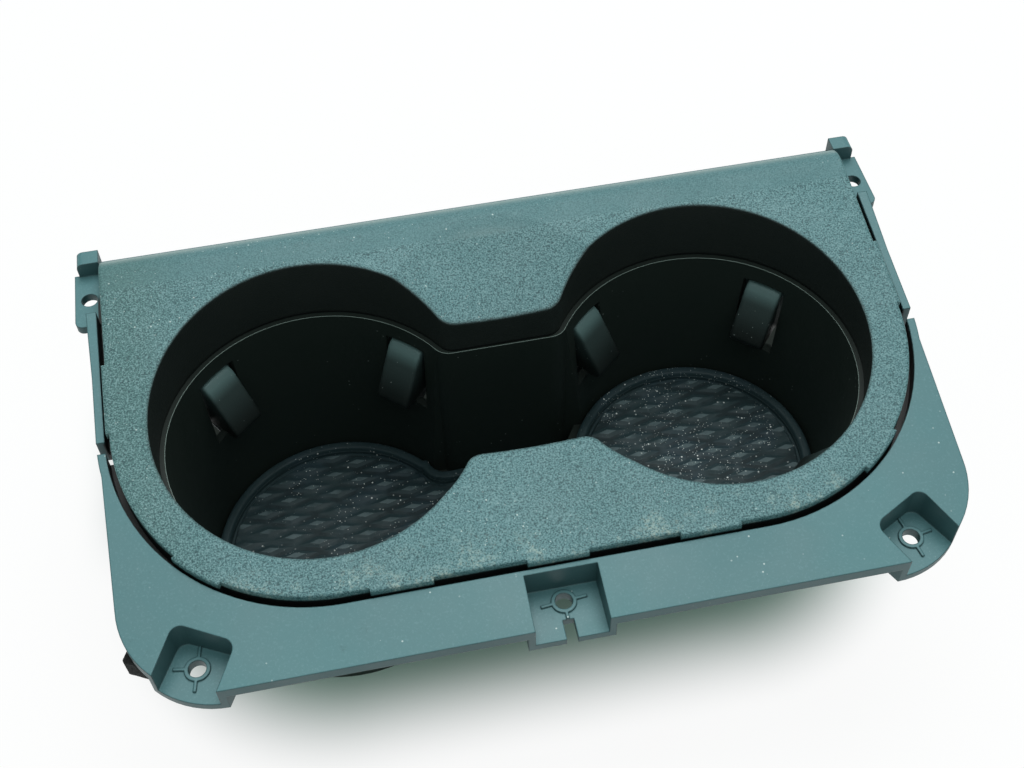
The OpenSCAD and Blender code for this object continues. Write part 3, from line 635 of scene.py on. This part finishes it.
def foam_block():
    b = bmesh.new()
    b.from_mesh(nodes["foam_pad"].data)
    bmesh.ops.remove_doubles(b, verts=b.verts, dist=FOAM_MERGE)
    bmesh.ops.dissolve_limit(b, angle_limit=FOAM_FLAT_ANGLE, verts=b.verts, edges=b.edges)
    bmesh.ops.bevel(b, geom=b.edges[:], offset=FOAM_EDGE_R, segments=3, profile=0.6, affect="EDGES")
    bmesh.ops.triangulate(b, faces=b.faces)
    bmesh.ops.subdivide_edges(b, edges=b.edges, cuts=FOAM_CUTS, use_grid_fill=True)
    rng = np.random.default_rng(FOAM_SEED)
    centre = sum((v.co for v in b.verts), Vector()) / len(b.verts)
    for v in b.verts:
        v.co = centre + (v.co - centre) * (1 - FOAM_UNEVEN + FOAM_UNEVEN * float(rng.random()))
    mesh = bpy.data.meshes.new("foam_block")
    b.to_mesh(mesh)
    b.free()
    mesh.shade_smooth()
    mesh.materials.append(finishes["foam"])
    piece = bpy.data.objects.new("foam_block", mesh)
    bpy.context.scene.collection.objects.link(piece)
    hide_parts("foam_pad")
    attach(piece, "holder")


foam_block()


# Floor: its size and drop below the part, its colours, how far out its shade reaches, and its glow
FLOOR_SIZE = 6
FLOOR_DROP = 0.2 * MM
FLOOR_COLOR = (0.90, 0.955, 0.94)
SHADOW_COLOR = (0.62, 0.84, 0.73)
UNDER_PART_SHADE = (0.028, 0.033, 0.030)
SHADOW_NEAR = 36 * MM
SHADOW_FAR = 69 * MM
GLOW_SHARE = 0.92


def floor():
    """A white floor, with painted shadow near the tub's foot and painted shade under the part's rear half.
    """
    bpy.ops.mesh.primitive_plane_add(size=FLOOR_SIZE, location=(0, 0, -FLOOR_DROP))
    ground = bpy.context.active_object
    ground.name = "floor"
    t = Tree("floor_white", FLOOR_COLOR, roughness=1.0)
    surface = t.nodes["Material Output"].inputs["Surface"]
    t.links.remove(surface.links[0])
    x, y, _ = t.parts(t.place)
    shade = t.ramp(t.from_cups(), SHADOW_FAR, SHADOW_NEAR)
    t.tint(SHADOW_COLOR, shade)
    # painted shade under the part's rear half, which also takes the glow away there
    between_ends = t.ramp(t.math("ABSOLUTE", x), HALF_LENGTH + 20 * MM, HALF_LENGTH - 12 * MM)
    before_rear = t.ramp(y, REAR_Y + 30 * MM, REAR_Y - 4 * MM)
    under = t.times(between_ends, before_rear, t.ramp(y, CUP_Y, CUP_Y + 30 * MM))
    t.tint(UNDER_PART_SHADE, under)
    diffuse = t.nodes.new("ShaderNodeBsdfDiffuse")
    t.links.new(t.color, diffuse.inputs["Color"])
    glow = t.nodes.new("ShaderNodeEmission")
    glow.inputs["Strength"].default_value = 1.0
    rays = t.nodes.new("ShaderNodeLightPath").outputs
    seen = t.math("MAXIMUM", t.math("MAXIMUM", rays["Is Camera Ray"], rays["Is Glossy Ray"]),
                  rays["Is Transmission Ray"])
    lit = t.times(t.math("SUBTRACT", 1.0, shade), t.math("SUBTRACT", 1.0, under), GLOW_SHARE)
    mix = t.nodes.new("ShaderNodeMixShader")
    t.links.new(t.times(seen, lit), mix.inputs[0])
    t.links.new(diffuse.outputs[0], mix.inputs[1])
    t.links.new(glow.outputs[0], mix.inputs[2])
    t.links.new(mix.outputs[0], surface)
    ground.data.materials.append(t.material)


# Lights, in metres and watts, and the world
LIGHT_TARGET = Vector((0, 0, 50 * MM))
WORLD_COLOR = (0.86, 1.0, 0.97)
WORLD_STRENGTH = 0.39


def softbox(name, place, size, power):
    """A square lamp at place that faces the part."""
    data = bpy.data.lights.new(name, "AREA")
    data.shape = "SQUARE"
    data.size = size
    data.energy = power
    lamp = bpy.data.objects.new(name, data)
    bpy.context.scene.collection.objects.link(lamp)
    lamp.location = place
    lamp.rotation_euler = (LIGHT_TARGET - Vector(place)).to_track_quat("-Z", "Y").to_euler()


floor()
softbox("rear_softbox", place=(0.15, 0.50, 1.25), size=0.9, power=11.4)
softbox("front_softbox", place=(0.10, -0.50, 1.25), size=0.8, power=3.1)

world = bpy.data.worlds.new("world")
world.use_nodes = True
world.node_tree.nodes["Background"].inputs["Color"].default_value = (*WORLD_COLOR, 1)
world.node_tree.nodes["Background"].inputs["Strength"].default_value = WORLD_STRENGTH
bpy.context.scene.world = world
bpy.context.scene.view_settings.view_transform = "Standard"
